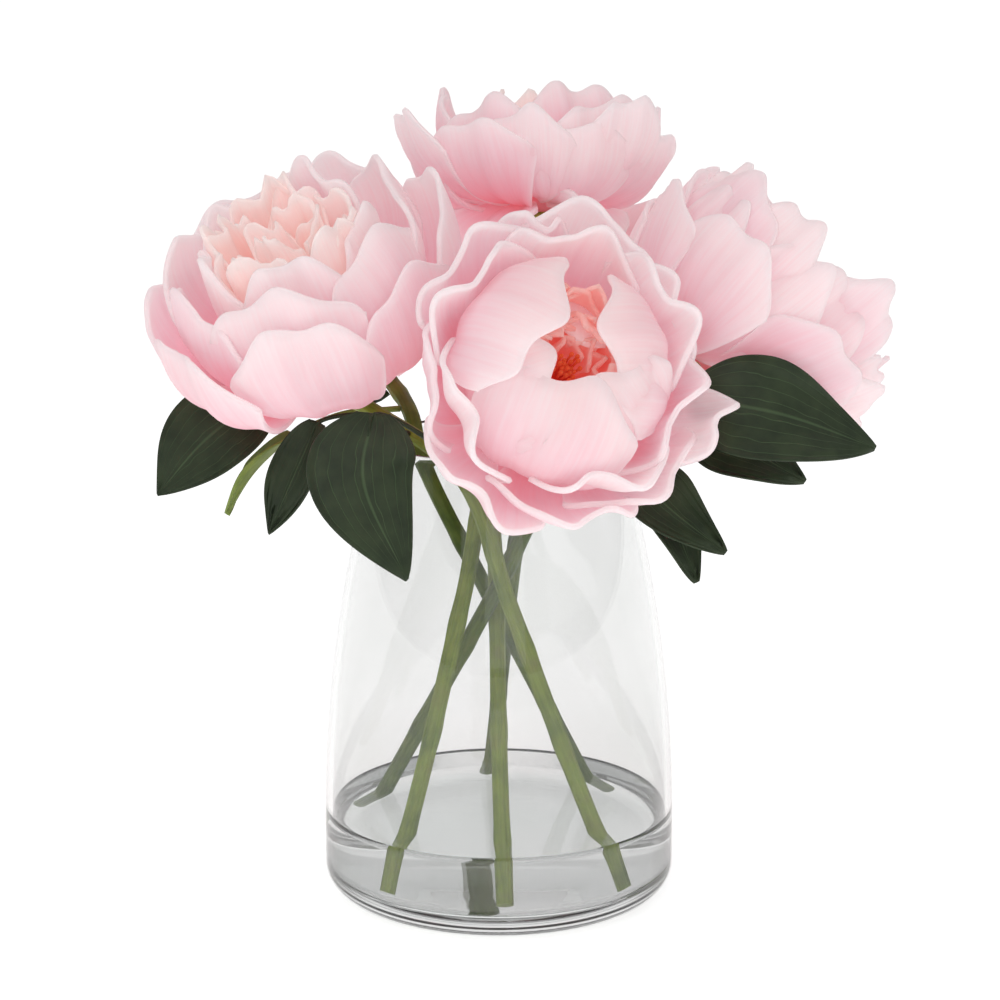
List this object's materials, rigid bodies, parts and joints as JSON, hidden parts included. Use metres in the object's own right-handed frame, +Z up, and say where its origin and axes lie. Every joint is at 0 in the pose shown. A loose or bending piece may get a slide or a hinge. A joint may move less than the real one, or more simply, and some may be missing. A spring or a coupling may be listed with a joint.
{
  "type": "peonies in a vase",
  "caption": "Bunch of full pink peony blooms with dark leaves, their crossed green stems standing in shallow water in a clear bell-shaped glass vase.",
  "frame": {"origin": "centre of the flat underside of the vase", "axes": "+Z up along the vase's axis, -Y towards the viewer of the picture, +X to the viewer's right"},
  "size_m": [0.2637, 0.2368, 0.2948],
  "materials": {
    "vase_glass": "clear polished",
    "water": "still water",
    "stem_front": "green stem",
    "calyx_front": "green sepals",
    "bloom_front": "soft pale pink petals",
    "heart_front": "soft coral inner petals",
    "stem_left": "green stem",
    "calyx_left": "green sepals",
    "bloom_left": "soft pale pink petals",
    "heart_left": "soft coral inner petals",
    "stem_right": "green stem",
    "calyx_right": "green sepals",
    "bloom_right": "soft pale pink petals",
    "heart_right": "soft coral inner petals",
    "stem_back": "green stem",
    "calyx_back": "green sepals",
    "bloom_back": "soft pale pink petals",
    "heart_back": "soft coral inner petals",
    "stem_rear_left": "green stem",
    "calyx_rear_left": "green sepals",
    "bloom_rear_left": "soft pale pink petals",
    "heart_rear_left": "soft coral inner petals",
    "stem_rear_right": "green stem",
    "calyx_rear_right": "green sepals",
    "bloom_rear_right": "soft pale pink petals",
    "heart_rear_right": "soft coral inner petals",
    "stamens_front": "red-orange stamens",
    "leaf_left_far": "veined leaf",
    "leaf_left_narrow": "veined leaf",
    "leaf_left_large": "veined leaf",
    "leaf_left_back": "veined leaf",
    "leaf_right_large": "veined leaf",
    "leaf_right_back": "veined leaf",
    "leaf_centre_front": "veined leaf",
    "leaf_centre_low": "veined leaf",
    "leaf_rear_left": "veined leaf",
    "leaf_rear_mid": "veined leaf",
    "leaf_rear_right": "veined leaf"
  },
  "bodies": {
    "root": {"vase_glass": "vase_glass", "water": "water", "stem_front": "stem_front", "calyx_front": "calyx_front", "bloom_front": "bloom_front", "heart_front": "heart_front", "stem_left": "stem_left", "calyx_left": "calyx_left", "bloom_left": "bloom_left", "heart_left": "heart_left", "stem_right": "stem_right", "calyx_right": "calyx_right", "bloom_right": "bloom_right", "heart_right": "heart_right", "stem_back": "stem_back", "calyx_back": "calyx_back", "bloom_back": "bloom_back", "heart_back": "heart_back", "stem_rear_left": "stem_rear_left", "calyx_rear_left": "calyx_rear_left", "bloom_rear_left": "bloom_rear_left", "heart_rear_left": "heart_rear_left", "stem_rear_right": "stem_rear_right", "calyx_rear_right": "calyx_rear_right", "bloom_rear_right": "bloom_rear_right", "heart_rear_right": "heart_rear_right", "stamens_front": "stamens_front", "leaf_left_far": "leaf_left_far", "leaf_left_narrow": "leaf_left_narrow", "leaf_left_large": "leaf_left_large", "leaf_left_back": "leaf_left_back", "leaf_right_large": "leaf_right_large", "leaf_right_back": "leaf_right_back", "leaf_centre_front": "leaf_centre_front", "leaf_centre_low": "leaf_centre_low", "leaf_rear_left": "leaf_rear_left", "leaf_rear_mid": "leaf_rear_mid", "leaf_rear_right": "leaf_rear_right"}
  },
  "joints": []
}
